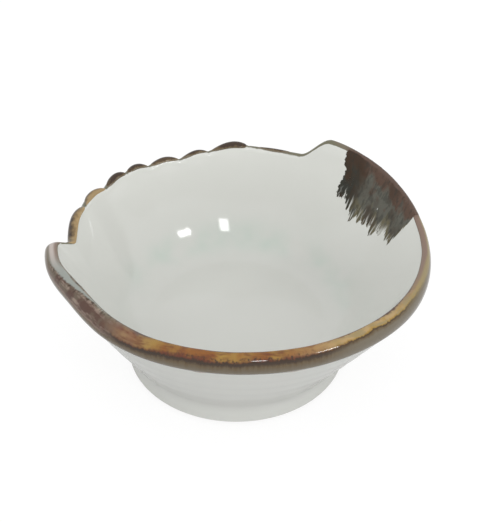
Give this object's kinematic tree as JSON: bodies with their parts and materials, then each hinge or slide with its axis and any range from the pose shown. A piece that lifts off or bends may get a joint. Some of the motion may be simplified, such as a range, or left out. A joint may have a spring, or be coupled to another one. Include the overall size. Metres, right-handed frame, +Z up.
{
  "type": "condiment bowl",
  "caption": "Small free-form stoneware bowl on a foot ring, with a rolled brown lip, a crimped back edge and a brushed iron-glaze mark, for a side dish or condiment.",
  "frame": {"origin": "on the table under the middle of the bowl's outline, level with the underside of the foot ring", "axes": "+X along the bowl's length, from the notched tip towards the right side; +Y to the back, where the rim rises to its peak; +Z up"},
  "size_m": [0.138, 0.1142, 0.0611],
  "materials": {
    "stoneware": "bare fired stoneware, matt",
    "pale_glaze": "glossy pale grey glaze",
    "iron_glaze": "glossy iron-brown glaze breaking to amber",
    "brush_glaze": "satin iron-black brushed glaze"
  },
  "bodies": {
    "root": {"stoneware_body": "stoneware", "foot_ring": "stoneware", "inside_glaze": "pale_glaze", "outside_glaze": "pale_glaze", "foot_glaze": "pale_glaze", "underside_glaze": "pale_glaze", "rim_glaze": "iron_glaze", "scallop_glaze_1": "iron_glaze", "scallop_glaze_2": "iron_glaze", "scallop_glaze_3": "iron_glaze", "scallop_glaze_4": "iron_glaze", "scallop_glaze_5": "iron_glaze", "scallop_glaze_6": "iron_glaze", "scallop_glaze_7": "iron_glaze", "back_edge_glaze": "iron_glaze", "brush_mark": "brush_glaze"}
  },
  "joints": []
}
